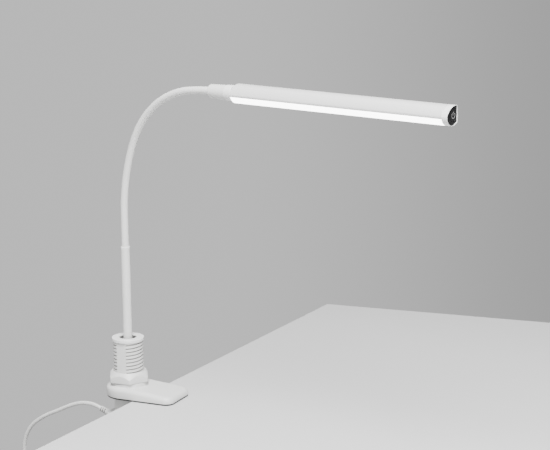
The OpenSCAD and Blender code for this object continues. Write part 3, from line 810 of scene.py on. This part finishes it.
@dataclass
class Clamp:
    """Threaded stem with its cap, both jaws and the nut."""

    stem_r: float = 17.0
    bore_r: float = 13.5
    flat_y: float = 16.0
    stem_h: float = 63.3
    lead: float = 8.0
    starts: int = 2
    groove: float = 1.3
    jaw_r: float = 25.4
    reach: float = 65.0
    corner: float = 9.5
    pad_t: float = 1.5
    low_top: float = -21.5
    base_h: float = 14.0
    nut_z: float = 17.0
    nut_h: float = 12.0
    nut_af: float = 42.0
    nut_rim: float = 18.9
    nut_corner: float = 23.95
    nut_bore: float = 17.08
    upper_edge: float = 5.0
    lower_edge: float = 4.0
    foot_r: float = 22.9
    boss_r: float = 21.6
    boss_top: float = 16.8
    seat: float = 15.8
    key: tuple[float, float] = (17.4, 16.4)
    cover_r: float = 20.05
    cover_deep: float = 2.0

    def stem(self) -> None:
        """The column with a two-start thread and two flats.

        The outer radius is the crest less a groove whose depth is a smooth function of the
        distance to the helix z = lead * turn; where a flat plane lies inside the crest, the
        radius is that plane's distance instead. The wall is closed by a plain inner bore.
        """
        cut = math.asin(self.flat_y / self.stem_r)
        quarter = np.concatenate(
            [np.linspace(0.0, cut - 0.004, 34), np.linspace(cut + 0.004, math.pi / 2, 7)[:-1]]
        )
        half = np.concatenate([quarter, [math.pi / 2], math.pi - quarter[::-1][:-1]])
        angle = np.concatenate([half, half + math.pi])
        z = np.concatenate(
            [[self.low_top], np.arange(-2.0, self.stem_h, 0.25), [self.stem_h]]
        )
        pitch = self.lead / self.starts
        place = (z[:, None] - self.lead * angle[None, :] / TAU) / pitch
        off = np.abs(place - np.floor(place) - 0.5)
        wall = np.clip((0.215 - off) / 0.115, 0.0, 1.0)
        wall = wall * wall * (3 - 2 * wall)
        fade = np.clip((z - 0.5) / 1.5, 0.0, 1.0) * np.clip((self.stem_h - 0.6 - z) / 0.8, 0.0, 1.0)
        radius = self.stem_r - self.groove * wall * fade[:, None]
        plane = self.flat_y / np.maximum(np.abs(np.sin(angle)), 1e-6)
        radius = np.where(plane[None, :] < self.stem_r, plane[None, :], radius)
        heights = np.concatenate([z, z[[-1, 0]]])
        radii = np.concatenate([radius, np.full((2, len(angle)), self.bore_r)])
        rings = np.stack(
            [
                radii * np.cos(angle),
                radii * np.sin(angle),
                np.broadcast_to(heights[:, None], radii.shape),
            ],
            axis=-1,
        )
        # Painted shade: darker in the thread's grooves, and 0.6 of full shade on the bore's rows.
        deep = (wall * fade[:, None]) ** 0.7 * (plane[None, :] >= self.stem_r)
        cavity = np.concatenate([deep, np.full((2, len(angle)), 0.6)])
        piece = skin("threaded_stem", rings, closed=True, sharp=42.0, cavity=cavity)
        dress(piece, Look.CASE)
        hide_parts("clamp_frame")
        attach(piece, "clamp")

    def outline(self, angle: Array) -> Array:
        """Distance from the stem's axis to the jaw's edge along rays.

        Behind the axis it is a circle. Ahead of it the ray meets a side line, the tip line or
        a rounded corner, whose distance solves the ray-circle equation.

        Args:
            angle: ray directions in radians, from the tip round.

        Returns:
            Distances in millimetres.
        """
        c, s = np.cos(angle), np.abs(np.sin(angle))
        side = self.jaw_r / np.maximum(s, 1e-9)
        tip = self.reach / np.maximum(c, 1e-9)
        plain = np.minimum(side, tip)
        cx, cy = self.reach - self.corner, self.jaw_r - self.corner
        b = c * cx + s * cy
        disc = np.maximum(b * b - (cx * cx + cy * cy - self.corner**2), 0.0)
        arc = b + np.sqrt(disc)
        in_corner = (plain * c > cx) & (plain * s > cy)
        front = np.where(in_corner, arc, plain)
        return np.where(c > 0, front, self.jaw_r)

    def plan(self) -> tuple[Array, Array]:
        """Points round the jaw's edge and their outward directions, evenly spaced.

        Returns:
            The points and the unit directions, each shaped (180, 2).
        """
        fine = np.linspace(-math.pi, math.pi, 4001)[:-1]
        r = self.outline(fine)
        pts = np.stack([r * np.cos(fine), r * np.sin(fine)], axis=-1)
        gap = np.linalg.norm(np.roll(pts, -1, axis=0) - pts, axis=1)
        run = np.concatenate([[0.0], np.cumsum(gap)])
        want = np.linspace(0.0, run[-1], 181)[:-1]
        x = np.interp(want, run, np.append(pts[:, 0], pts[0, 0]))
        y = np.interp(want, run, np.append(pts[:, 1], pts[0, 1]))
        pts = np.stack([x, y], axis=-1)
        slope = np.roll(pts, -1, axis=0) - np.roll(pts, 1, axis=0)
        slope /= np.linalg.norm(slope, axis=1, keepdims=True)
        return pts, np.stack([slope[:, 1], -slope[:, 0]], axis=-1)

    @staticmethod
    def ring(xy: Array, z: Array | float) -> Array:
        """Joins plan points and heights into one ring."""
        return np.concatenate([xy, np.broadcast_to(z, (len(xy),))[:, None]], axis=-1)

    @staticmethod
    def crown(x: Array) -> Array:
        """Height of the upper jaw's top over x: level at the stem, then falling to the tip."""
        t = np.clip((x - 2.0) / 60.0, 0.0, 1.0)
        return 13.6 - 5.2 * t**1.35

    def upper_jaw(self) -> None:
        """The upper jaw, a slab with a soft upper edge and a round boss under the nut.

        The first rings go up the side and over a quarter-circle rounding. The next ones pass
        from that edge to the boss by straight shares, at the crown's height. The rest climb
        the boss, cross its rim, drop into the washer's seat and go down the keyed bore.
        """
        pts, out = self.plan()
        edge = np.linspace(0.0, math.pi / 2, 11)
        soft = self.upper_edge
        rows: list[Array] = []
        rows.append(self.ring(pts - out * 0.5, self.pad_t))
        rows.append(self.ring(pts - out * 0.15, self.pad_t + 0.12))
        rows.append(self.ring(pts, self.pad_t + 0.5))
        for a in edge:
            xy = pts - out * (soft * (1 - math.cos(a)) + 0.25 * math.sin(a))
            top = self.crown(xy[:, 0])
            rise = np.minimum(soft, top - self.pad_t - 1.2)
            rows.append(self.ring(xy, top - rise * (1 - math.sin(a))))
        rim = pts - out * (soft + 0.25)
        away = rim / np.linalg.norm(rim, axis=1, keepdims=True)
        near = np.minimum(np.linalg.norm(rim, axis=1), self.foot_r)[:, None] * away
        for share in np.linspace(0.0, 1.0, 9)[1:]:
            xy = rim * (1 - share) + near * share
            rows.append(self.ring(xy, self.crown(xy[:, 0]) + 0.02 * share))
        foot = self.crown(near[:, 0])
        for r, lift in ((22.4, 0.1), (22.0, 0.4), (21.8, 0.9)):
            reach = np.minimum(np.linalg.norm(near, axis=1), r)[:, None]
            rows.append(self.ring(away * reach, foot + lift))
        reach = np.minimum(np.linalg.norm(near, axis=1), self.boss_r)[:, None]
        boss = away * reach
        top, seat = self.boss_top, self.seat
        for draw, z in ((0.0, top - 0.7), (0.2, top - 0.2), (0.7, top), (1.35, top), (1.4, seat)):
            rows.append(self.ring(boss - away * draw, z))
        turn = np.arctan2(away[:, 1], away[:, 0])
        key_r, key_y = self.key
        key = np.minimum(key_r, key_y / np.maximum(np.abs(np.sin(turn)), 1e-6))[:, None]
        rows.append(self.ring(away * key, seat))
        rows.append(self.ring(away * key, self.pad_t))
        piece = skin("upper_jaw_body", np.stack(rows), closed=True)
        dress(piece, Look.CASE)
        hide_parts("upper_jaw")
        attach(piece, "jaw")

    def lower_jaw(self) -> None:
        """The lower jaw casing, the same plan turned upside down, with a round cover below.

        Rings run from the stem out over the flat upper face, over a small edge, down the side,
        round a larger lower edge that rises towards the tip, and back to the cover's recess.
        """
        pts, out = self.plan()
        away = pts / np.linalg.norm(pts, axis=1, keepdims=True)
        low = self.low_top - self.base_h
        keel = low + 5.0 * np.clip((pts[:, 0] - 26.0) / 38.0, 0.0, 1.0) ** 1.6
        rows: list[Array] = []
        rows.append(self.ring(away * self.bore_r, self.low_top))
        rows.append(self.ring(pts - out * 0.8, self.low_top))
        rows.append(self.ring(pts - out * 0.25, self.low_top - 0.2))
        rows.append(self.ring(pts, self.low_top - 0.8))
        soft = self.lower_edge
        for a in np.linspace(0.0, math.pi / 2, 10):
            rows.append(self.ring(pts - out * soft * (1 - math.cos(a)), keel + soft * (1 - math.sin(a))))
        rim = pts - out * soft
        cover = away * self.cover_r
        for share in np.linspace(0.0, 1.0, 6)[1:]:
            xy = rim * (1 - share) + cover * share
            rows.append(self.ring(xy, keel * (1 - share) + low * share))
        rows.append(self.ring(cover, low + self.cover_deep))
        rows.append(self.ring(away * self.bore_r, low + self.cover_deep))
        piece = skin("lower_jaw_casing", np.stack(rows), closed=True)
        dress(piece, Look.CASE)
        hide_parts("clamp_frame")
        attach(piece, "clamp")

    def boss(self) -> None:
        """The short round boss that the strain relief seats on, along the gland's axis."""
        cord = Cord()
        along = np.array([-5.0, -5.0, 1.3, 1.65, 1.8])
        radius = np.array([3.4, 4.6, 4.6, 4.45, 4.0])
        angle = np.arange(48) * TAU / 48
        spot = cord.gland(along)
        up = np.array([math.sin(cord.tilt), 0.0, math.cos(cord.tilt)])
        mid = np.stack([spot[:, 0], np.zeros(len(along)), spot[:, 1]], axis=-1)
        rings = (
            mid[:, None]
            + (radius[:, None] * np.sin(angle))[..., None] * np.array([0.0, 1.0, 0.0])
            + (radius[:, None] * np.cos(angle))[..., None] * up
        )
        piece = skin("gland_boss", rings)
        dress(piece, Look.CASE)
        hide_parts("clamp_frame")
        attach(piece, "clamp")

    def nut(self) -> None:
        """The hexagon nut with chamfered corners.

        The side's radius is the hexagon's distance along each ray, kept under a corner
        circle. Its upper limit is a steep cone, which cuts an arc on every face.
        """
        side = TAU / 6
        fine = 0.06
        sixth = np.concatenate(
            [
                np.linspace(0.0, fine, 5)[:-1],
                np.linspace(fine, side - fine, 25),
                np.linspace(side - fine, side, 5)[1:-1],
            ]
        )
        angle = np.concatenate([sixth + k * side for k in range(6)])
        flat = self.nut_af / 2 / np.cos((angle % side) - side / 2)
        hexagon = flat - 0.5 * np.log1p(np.exp((flat - self.nut_corner) / 0.18)) * 0.36
        rim, high = self.nut_rim, self.nut_h
        slope = math.tan(math.radians(54.0))
        lid = high - (hexagon - rim) * slope
        ones = np.ones_like(angle)
        rows = [
            (17.3 * ones, 0.0 * ones), (hexagon - 1.2, 0.0 * ones), (hexagon - 0.35, 0.12 * ones),
            (hexagon - 0.08, 0.45 * ones), (hexagon, 0.9 * ones), (hexagon, lid - 0.5),
            (hexagon - 0.05, lid - 0.15), (hexagon - 0.17, lid + 0.12),
            (hexagon - 0.36, lid + 0.45),
        ]
        rows += [
            ((hexagon - 0.36) * (1 - k) + (rim + 0.3) * k, (lid + 0.45) * (1 - k) + (high - 0.45) * k)
            for k in (0.25, 0.5, 0.75, 1.0)
        ]
        rows += [
            ((rim + 0.05) * ones, (high - 0.12) * ones), ((rim - 0.25) * ones, high * ones),
            (18.2 * ones, high * ones), (17.9 * ones, (high - 0.12) * ones),
            (17.15 * ones, (high - 0.9) * ones), (self.nut_bore * ones, (high - 2.0) * ones),
            (self.nut_bore * ones, 0.4 * ones),
        ]
        radius = np.stack([r for r, _ in rows])
        height = np.stack([h for _, h in rows]) + self.nut_z
        rings = np.stack([radius * np.cos(angle), radius * np.sin(angle), height], axis=-1)
        piece = skin("hexagon_nut", rings, closed=True, sharp=30.0)
        dress(piece, Look.CASE)
        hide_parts("clamp_nut")
        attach(piece, "nut")

    def cap(self) -> None:
        """The stem's cap ring, a rounded rim with a skirt inside the stem, turned about Z."""
        h = self.stem_h
        profile = rounded(
            [
                [9.7, h + 3.7, 0.7], [18.0, h + 3.7, 0.9], [18.0, h, 0.5], [13.45, h, 0.1],
                [13.45, h - 5.0, 0.4], [12.4, h - 5.0, 0.4], [12.4, h + 2.3, 0.4], [9.7, h + 2.3, 0.3],
            ]
        )
        piece = skin("stem_cap_ring", turned(profile, 128), closed=True)
        dress(piece, Look.RING)
        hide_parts("stem_cap")
        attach(piece, "clamp")

    def build(self) -> None:
        """Builds every piece of the clamp and dresses the plain ones from the frame."""
        self.stem()
        self.upper_jaw()
        self.lower_jaw()
        self.boss()
        self.nut()
        self.cap()
        for node, look in (
            ("upper_pad", Look.RUBBER), ("lower_pad", Look.RUBBER), ("base_cover", Look.CASE),
            ("base_screw_1", Look.STEEL), ("base_screw_2", Look.STEEL),
            ("thrust_washer", Look.STEEL), ("neck_bush", Look.DARK),
            ("neck_lock_nut", Look.STEEL), ("stem_wire", Look.DARK), ("usb_shell", Look.STEEL),
        ):
            dress(frame["nodes"][node], look)


# ---------------------------------------------------------------- neck


@dataclass
class Neck:
    """The rigid sleeve and the flexible neck, which follows three joined curves."""

    sleeve_top: float = 170.5
    straight: float = 36.0
    radii: tuple[float, float, float] = (210.0, 104.0, 262.0)
    angles: tuple[float, float, float] = (23.5, 59.5, 7.0)
    neck_r: float = 4.1
    sleeve_r: float = 5.0
    sleeve_bore: float = 4.13
    sleeve_foot: float = 33.6
    ring_r: float = 5.1
    ring_h: float = 2.5
    hidden: tuple[float, float] = (8.0, 6.0)
    bend_reach: float = 17.0

    def knots(self) -> Array:
        """Distances along the neck, from the sleeve's top, at which one curve meets the next."""
        arcs = np.radians(self.angles) * np.array(self.radii)
        return np.concatenate([[0.0, self.straight], self.straight + np.cumsum(arcs)])

    def at(self, along: Array) -> tuple[Array, Array]:
        """Places and leans on the neck's centreline.

        On each curve the lean grows evenly with distance, and the place is the curve's start
        plus its radius times the change in the cosine and sine of the lean.

        Args:
            along: distances from the sleeve's top.

        Returns:
            (reach, height) points shaped (n, 2), and leans from upright in radians.
        """
        along = np.asarray(along, dtype=float)
        knots = self.knots()
        place = np.stack([np.zeros_like(along), self.sleeve_top + np.minimum(along, knots[1])], axis=-1)
        lean = np.zeros_like(along)
        start = 0.0
        for radius, turn, k0 in zip(self.radii, np.radians(self.angles), knots[1:]):
            here = np.clip((along - k0) / radius, 0.0, turn)
            place[:, 0] += radius * (np.cos(start) - np.cos(start + here))
            place[:, 1] += radius * (np.sin(start + here) - np.sin(start))
            lean += here
            start += turn
        place[:, 0] += np.maximum(along - knots[-1], 0.0)
        return place, lean

    def tube(self, along: Array, count: int = 48) -> Array:
        """Rings round the centreline, each square to it.

        Args:
            along: distances from the sleeve's top.
            count: points round each ring.

        Returns:
            Rings of points, shaped (n, count, 3).
        """
        place, lean = self.at(along)
        angle = np.arange(count) * TAU / count
        up = self.neck_r * np.sin(angle)[None, :]
        reach = place[:, :1] - up * np.cos(lean)[:, None]
        height = place[:, 1:2] + up * np.sin(lean)[:, None]
        side = np.broadcast_to(self.neck_r * np.cos(angle)[None, :], reach.shape)
        return PLANE.place(reach, side, height)

    def joints(self) -> Array:
        """Distances along the neck of its six bends."""
        k = self.knots()
        return np.array(
            [k[1], (k[1] + k[2]) / 2, k[2], (2 * k[2] + k[3]) / 3, (k[2] + 2 * k[3]) / 3, k[3]]
        )

    def build(self) -> None:
        """Builds the sleeve, its ring and one skin for each bend of the flexible part."""
        joints = self.joints()
        below, beyond = self.hidden
        between = (joints[1:] + joints[:-1]) / 2
        ends = np.concatenate([[-below], between, [self.knots()[-1] + beyond]])
        for k, joint in enumerate(joints):
            along = np.linspace(ends[k], ends[k + 1], 44)
            piece = skin(f"neck_skin_{k + 1}", self.tube(along))
            dress(piece, Look.NECK)
            reach = min(self.bend_reach, joint - ends[k], ends[k + 1] - joint) - 0.3
            spots, _ = self.at(np.array([joint - reach, joint + reach]))
            world = PLANE.place(spots[:, 0], np.zeros(2), spots[:, 1]) * 0.001
            first = [f"neck_link_{k + 1}"] if k == 0 else []
            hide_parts(*first, f"neck_link_{k + 2}")
            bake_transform(piece)
        foot, top = self.sleeve_foot, self.sleeve_top
        seam = top - self.ring_h
        bore, out, rim = self.sleeve_bore, self.sleeve_r, self.ring_r
        sleeve = rounded(
            [[bore, foot, 0.2], [out, foot, 0.4], [out, seam, 0.3], [bore, seam, 0.1]]
        )
        ring = rounded([[bore, seam, 0.1], [rim, seam, 0.3], [rim, top, 0.6], [bore, top, 0.2]])
        for name, profile, node, look in (
            ("neck_sleeve_tube", sleeve, "neck_sleeve", Look.NECK),
            ("sleeve_end_ring", ring, "sleeve_ring", Look.RING),
        ):
            piece = skin(name, turned(profile, 72), closed=True)
            dress(piece, look)
            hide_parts(node)
            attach(piece, "clamp")


# ---------------------------------------------------------------- head


@dataclass
class Head:
    """The swivel, the long casing with its lens, and the end panel with the button."""

    level: float = 353.945
    start: float = 164.047
    length: float = 268.5
    shell_t: float = 1.8
    end_len: float = 6.5
    lens_from: float = 197.0
    lens_to: float = 259.0
    button_c: tuple[float, float] = (1.6, 0.0)
    button_r: float = 5.6
    crown: tuple[float, float, float] = (4.9, -5.6, 15.3)
    belly: tuple[float, float, float] = (0.0, -0.3, 9.5)
    back_w: float = 8.7
    pin_bore: float = 3.53
    neck_bore: float = 4.15
    panel_draw: float = 0.9
    symbol_r: float = 2.7
    symbol_w: float = 0.32

    def outline(self, angle: Array, inset: float) -> Array:
        """Distance from the head's axis to its outline along rays.

        The upper front is a large circle and the lower front a smaller one. Behind the axis
        four straight lines close the shape. The distance is the least of those that apply,
        then averaged over a few degrees, which rounds the corners.

        Args:
            angle: ray directions in radians, from sideways towards up.
            inset: how far inside the outer surface.

        Returns:
            Distances in millimetres.
        """
        fine = np.arange(1440) * TAU / 1440
        c, s = np.cos(fine), np.sin(fine)

        def circle(cx: float, cy: float, r: float) -> Array:
            """Ray distance to a circle that holds the axis."""
            b = c * cx + s * cy
            return b + np.sqrt(np.maximum(b * b - (cx * cx + cy * cy - r * r), 0.0))

        (x0, y0, r0), (x1, y1, r1) = self.crown, self.belly
        upper = circle(x0, y0, r0 - inset)
        front = circle(x1, y1, r1 - inset)
        r = r1 - inset
        w = self.back_w - inset
        corners = np.array(
            [[x1, y1 - r], [3.0, 0.1 - r], [w - 0.4, 2.5 - r], [w, -1.0], [w - 0.8, 20.0]]
        )
        back = np.full_like(fine, 1e3)
        for p, q in zip(corners[:-1], corners[1:]):
            n = np.array([q[1] - p[1], p[0] - q[0]])
            n /= np.linalg.norm(n)
            facing = c * n[0] + s * n[1]
            back = np.minimum(back, np.where(facing > 1e-6, (n @ p) / np.maximum(facing, 1e-6), 1e3))
        both = np.minimum(upper, np.where(c > 0, back, front))
        width = np.arange(-15, 16)
        weight = np.exp(-0.5 * (width / 6.0) ** 2)
        soft = sum(w0 * np.roll(both, k) for k, w0 in zip(width, weight)) / weight.sum()
        return np.interp(np.mod(angle, TAU), np.append(fine, TAU), np.append(soft, soft[0]))

    def bar(self, name: str, angle: Array, loops: Sequence[Sequence[float]], whole: bool) -> bpy.types.Object:
        """A wall that follows the head's outline.

        Args:
            name: the piece's name.
            angle: ray directions, one for each row.
            loops: the wall's cut, as (along, inset, rounding) corners in order.
            whole: True if the wall goes all the way round.

        Returns:
            The new piece.
        """
        cut = rounded(loops, steps=4)
        radius = np.stack([self.outline(angle, float(d)) for d in cut[:, 1]], axis=-1)
        side = radius * np.cos(angle)[:, None]
        height = self.level + radius * np.sin(angle)[:, None]
        along = np.broadcast_to(cut[:, 0], radius.shape)
        return skin(name, PLANE.place(along, side, height), closed=whole)

    def along_axis(self, name: str, profile: Array) -> bpy.types.Object:
        """A profile turned about the head's axis.

        Args:
            name: the piece's name.
            profile: points of (radius, along), shaped (n, 2).

        Returns:
            The new piece.
        """
        ring = turned(profile, 72)
        rings = PLANE.place(ring[..., 2], ring[..., 0], self.level + ring[..., 1])
        return skin(name, rings, closed=True)

    def swivel(self) -> None:
        """The tapered collar and the swivel ring, each turned about the head's axis."""
        x0, x1, x2 = self.start - 33.0, self.start - 10.0, self.start - 0.5
        pin, neck = self.pin_bore, self.neck_bore
        collar = rounded(
            [
                [neck, x0, 0.1], [7.2, x0, 0.9], [8.0, x1, 0.35], [pin, x1, 0.1],
                [pin, x0 + 12, 0.1], [neck, x0 + 11.9, 0.05],
            ]
        )
        ring = rounded([[pin, x1, 0.1], [8.4, x1, 0.7], [8.4, x2, 0.7], [pin, x2, 0.1]])
        for name, profile, node, look in (
            ("collar_cone", collar, "head_collar", Look.CASE),
            ("swivel_band", ring, "swivel_ring", Look.RING),
        ):
            piece = self.along_axis(name, profile)
            dress(piece, look)
            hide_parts(node)
            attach(piece, "neck_7")

    def casing(self) -> None:
        """The casing, which leaves a slot at the lower front, and the lens in that slot."""
        x0, x1 = self.start, self.start + self.length - self.end_len
        t = self.shell_t
        gap0, gap1 = math.radians(self.lens_from - 1.2), math.radians(self.lens_to - 0.2)
        angle = np.linspace(gap1, gap0 + TAU, 150)
        shell = self.bar(
            "head_casing",
            angle,
            [[x0, 0.0, 0.35], [x1, 0.0, 0.2], [x1, t, 0.2], [x0, t, 0.2]],
            whole=False,
        )
        dress(shell, Look.HEAD)
        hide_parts("head_shell")
        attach(shell, "head")
        sweep = np.linspace(gap0 + 0.008, gap1 - 0.008, 40)
        lens = self.bar(
            "lens_strip",
            sweep,
            [
                [x0 + 1.2, 0.05, 0.2], [x1 - 0.02, 0.05, 0.2], [x1 - 0.02, 1.7, 0.2],
                [x0 + 1.2, 1.7, 0.2],
            ],
            whole=False,
        )
        dress(lens, Look.LENS)
        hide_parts("diffuser")
        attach(lens, "head")

    def end(self) -> None:
        """The light end cap, the dark panel inside it, and the button with its symbol."""
        angle = np.arange(180) * TAU / 180
        x1 = self.start + self.length
        x0 = x1 - self.end_len
        cap = self.bar(
            "end_cap_rim",
            angle,
            [
                [x0, 0.0, 0.2], [x1, 0.0, 0.15], [x1, 0.39, 0.12], [x1 - 3.35, 0.39, 0.12],
                [x1 - 3.35, 2.2, 0.15], [x0 + 0.9, 2.2, 0.15], [x0 + 0.9, 4.2, 0.15],
                [x0, 4.2, 0.2],
            ],
            whole=True,
        )
        dress(cap, Look.RING)
        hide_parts("end_cap")
        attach(cap, "head")
        face = x1 - self.panel_draw
        self.panel(face)
        self.button(face)

    def button_edge(self, angle: Array, grow: float) -> Array:
        """Distance from the button's centre to its edge: a circle cut by one upright line."""
        line = (self.button_r * 0.72 + grow) / np.maximum(np.cos(angle), 1e-6)
        return np.where(np.cos(angle) > 0, np.minimum(line, self.button_r + grow), self.button_r + grow)

    def panel(self, face: float) -> None:
        """The dark panel, whose rings pass from the cap's rim to the edge of the button's opening.

        Args:
            face: how far out along the head the panel's face lies.
        """
        angle = np.arange(180) * TAU / 180
        outer = self.outline(angle, 0.42)
        side, up = outer * np.cos(angle), outer * np.sin(angle)
        turn = np.arctan2(up - self.button_c[1], side - self.button_c[0])
        hole = self.button_edge(turn, 0.22)
        hs, hu = self.button_c[0] + hole * np.cos(turn), self.button_c[1] + hole * np.sin(turn)
        steps = [
            (0.0, -2.4), (0.0, -0.3), (0.03, -0.06), (0.08, 0.0), (0.5, 0.0), (0.9, 0.0),
            (0.96, -0.05), (1.0, -0.25), (1.0, -2.4),
        ]
        k = np.array([s for s, _ in steps])[:, None]
        x = np.array([face + d for _, d in steps])[:, None]
        rings = PLANE.place(x, side * (1 - k) + hs * k, self.level + up * (1 - k) + hu * k)
        piece = skin("end_panel", rings, closed=True)
        dress(piece, Look.DARK)
        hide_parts("button_bezel")
        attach(piece, "head")

    def button(self, face: float) -> None:
        """The push button, slightly domed, with a raised ring-and-bar symbol on it.

        Args:
            face: how far out along the head the panel's face lies.
        """
        angle = np.arange(120) * TAU / 120
        edge = self.button_edge(angle, 0.0)
        steps = np.array(
            [
                [1.0, -3.4], [1.0, -0.35], [0.985, -0.1], [0.95, 0.02], [0.8, 0.08], [0.5, 0.1],
                [0.2, 0.11],
            ]
        )
        side = self.button_c[0] + steps[:, :1] * edge * np.cos(angle)
        up = self.level + self.button_c[1] + steps[:, :1] * edge * np.sin(angle)
        cap = skin("push_button", PLANE.place(face + steps[:, 1:2], side, up))
        dress(cap, Look.DARK)
        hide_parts("power_button")
        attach(cap, "button")
        sweep = np.radians(np.linspace(90 + 35, 90 + 325, 60))
        arc = np.stack([self.symbol_r * np.cos(sweep), self.symbol_r * np.sin(sweep)], axis=-1)
        bar = np.stack([np.zeros(8), np.linspace(0.2, 3.5, 8)], axis=-1)
        for name, line in (("symbol_ring", arc), ("symbol_bar", bar)):
            slope = np.gradient(line, axis=0)
            slope /= np.linalg.norm(slope, axis=1, keepdims=True)
            across = np.stack([-slope[:, 1], slope[:, 0]], axis=-1) * self.symbol_w
            cut = np.array(
                [[-1.0, -0.1], [-1.0, 0.1], [-0.7, 0.14], [0.7, 0.14], [1.0, 0.1], [1.0, -0.1]]
            )
            spot = line[:, None] + across[:, None] * cut[None, :, :1]
            piece = skin(
                name,
                PLANE.place(
                    face + 0.05 + cut[None, :, 1] + np.zeros((len(line), 1)),
                    self.button_c[0] + 0.7 + spot[..., 0],
                    self.level + spot[..., 1],
                ),
            )
            dress(piece, Look.ICON)
            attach(piece, "button")

    def build(self) -> None:
        """Builds the head and dresses its hidden parts from the frame."""
        self.swivel()
        self.casing()
        self.end()
        for node, look in (
            ("swivel_pin", Look.STEEL), ("pin_clip", Look.STEEL), ("end_plate", Look.CASE),
            ("plate_screw_1", Look.STEEL), ("plate_screw_2", Look.STEEL),
            ("led_board", Look.BOARD), ("led_chips", Look.CHIP), ("driver_board", Look.BOARD),
            ("driver_parts", Look.DARK), ("switch_board", Look.BOARD), ("tact_switch", Look.DARK),
        ):
            dress(frame["nodes"][node], look)


def main() -> None:
    """Builds the studio and the lamp, and logs the name of every shown piece."""
    logging.basicConfig(level=logging.INFO, format="%(name)s: %(message)s")
    Studio().build()
    cord = Cord()
    cord.build()
    cord.relief()
    Clamp().build()
    Neck().build()
    Head().build()
    for name in sorted(o.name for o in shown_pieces()):
        LOG.info("piece %s", name)


if __name__ == "__main__":
    main()
